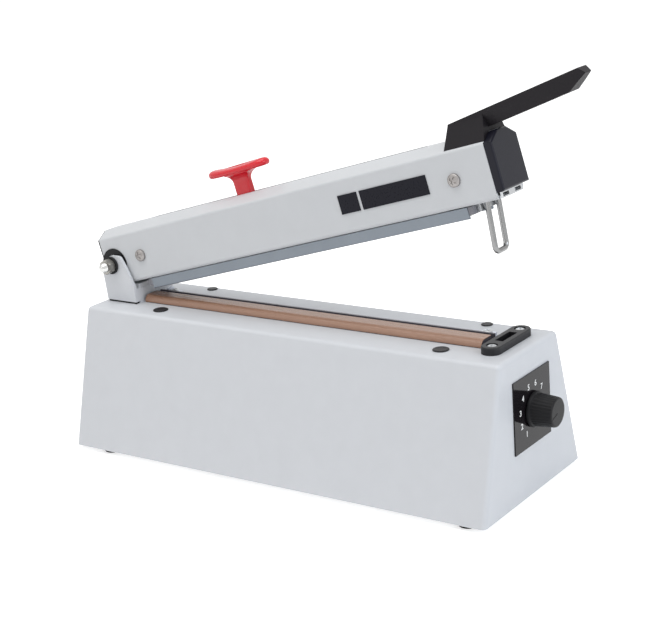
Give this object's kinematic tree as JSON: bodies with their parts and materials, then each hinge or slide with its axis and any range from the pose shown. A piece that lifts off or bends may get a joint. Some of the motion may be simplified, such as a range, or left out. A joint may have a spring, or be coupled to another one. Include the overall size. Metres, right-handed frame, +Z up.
{
  "type": "impulse heat sealer",
  "caption": "Hand-lever impulse heat sealer: sloped sheet metal base, hinged sealing arm with black lever, sliding red cutter knob, wire latch loop and timer dial.",
  "frame": {"origin": "on the table, below the middle of the bounding box with the arm open as in the picture", "axes": "+X along the base from the hinge to the timer dial, -Y the front, +Z up"},
  "size_m": [0.3417, 0.115, 0.2441],
  "materials": {
    "grey_paint": "satin grey-white enamel",
    "zinc_steel": "zinc plated",
    "bare_aluminium": "extruded, satin",
    "dark_aluminium": "extruded, dark anodised",
    "black_plastic": "moulded, fine texture",
    "grey_plastic": "moulded, dark grey",
    "red_plastic": "moulded, glossy red",
    "black_rubber": "moulded",
    "silicone": "silicone strip",
    "cover_cloth": "coated glass cloth, brown",
    "heating_alloy": "rolled band",
    "printed_plate": "printed plate, dark grey",
    "core_iron": "varnished laminations",
    "copper_winding": "enamelled copper wire",
    "board_green": "circuit board"
  },
  "bodies": {
    "base": {"base_housing": "grey_paint", "bottom_plate": "grey_paint", "bottom_plate_screws": "zinc_steel", "rubber_feet": "black_rubber", "bracket_gasket": "black_rubber", "hinge_bracket": "grey_paint", "bracket_screws": "zinc_steel", "hinge_pin": "zinc_steel", "hinge_washers": "black_plastic", "hinge_nuts": "zinc_steel", "opening_spring": "zinc_steel", "hole_plugs": "black_plastic", "seal_rail": "dark_aluminium", "heating_element": "heating_alloy", "ptfe_cover": "cover_cloth", "element_clamps": "zinc_steel", "clamp_screws": "zinc_steel", "latch_guide": "black_plastic", "latch_guide_screws": "zinc_steel", "dial_plate": "printed_plate", "timer_potentiometer": "grey_plastic", "potentiometer_nut": "zinc_steel", "transformer_core": "core_iron", "transformer_coil": "copper_winding", "transformer_clamp": "zinc_steel", "timer_board": "board_green", "board_standoffs": "zinc_steel", "board_relay": "black_plastic", "board_capacitor": "black_plastic", "latch_bracket": "zinc_steel", "solenoid_frame": "zinc_steel", "solenoid_coil": "copper_winding", "start_switch": "black_plastic", "cable_gland": "black_plastic"},
    "arm": {"arm_cover": "grey_paint", "rear_end_cap": "black_plastic", "end_cap": "black_plastic", "hinge_bushes": "black_plastic", "arm_screws": "zinc_steel", "arm_channel": "zinc_steel", "pressure_bar": "bare_aluminium", "pressure_bar_screws": "zinc_steel", "silicone_strip": "silicone", "bar_end_clips": "grey_plastic", "cutter_guide_rod": "zinc_steel", "rod_supports": "black_plastic", "handle": "black_plastic", "handle_screws": "zinc_steel", "loop_anchor_plate": "zinc_steel", "latch_loop": "zinc_steel", "name_plates": "printed_plate"},
    "carriage": {"cutter_carriage": "black_plastic", "cutter_spring": "zinc_steel"},
    "cutter": {"cutter_knob": "red_plastic", "cutter_blade": "zinc_steel"},
    "dial": {"timer_knob": "black_plastic", "timer_shaft": "zinc_steel"},
    "bolt": {"latch_bolt": "zinc_steel"},
    "lever": {"switch_lever": "zinc_steel"}
  },
  "joints": [
    {"name": "arm_hinge", "type": "hinge", "parent": "base", "child": "arm", "pos_m": [-0.1562, 0, 0.1133], "axis": [0, 1, 0], "range_deg": [0, 15.15], "stiffness_Nm_per_rad": 2, "springref_deg": -45.84},
    {"name": "cutter_slide", "type": "slide", "parent": "arm", "child": "carriage", "axis": [0.9652, 0, 0.2613], "range_m": [-0.0722, 0.1288]},
    {"name": "knife_press", "type": "slide", "parent": "carriage", "child": "cutter", "axis": [0.2613, 0, -0.9652], "range_m": [0, 0.008], "stiffness_N_per_m": 400, "springref_m": -0.005, "deforming": ["cutter_spring"]},
    {"name": "timer_turn", "type": "hinge", "parent": "base", "child": "dial", "pos_m": [0.1328, 0.0007, 0.0533], "axis": [1, 0, 0], "range_deg": [-143, 143]},
    {"name": "latch_bolt_slide", "type": "slide", "parent": "base", "child": "bolt", "axis": [1, 0, 0], "range_m": [0, 0.011], "stiffness_N_per_m": 150, "springref_m": -0.004},
    {"name": "switch_lever_swing", "type": "hinge", "parent": "base", "child": "lever", "pos_m": [0.1153, -0.014, 0.0684], "axis": [1, 0, 0], "range_deg": [-8.2, 0]}
  ],
  "couplings": [
    {"joint": "switch_lever_swing", "follows": "arm_hinge", "ratio": -0.52805}
  ]
}
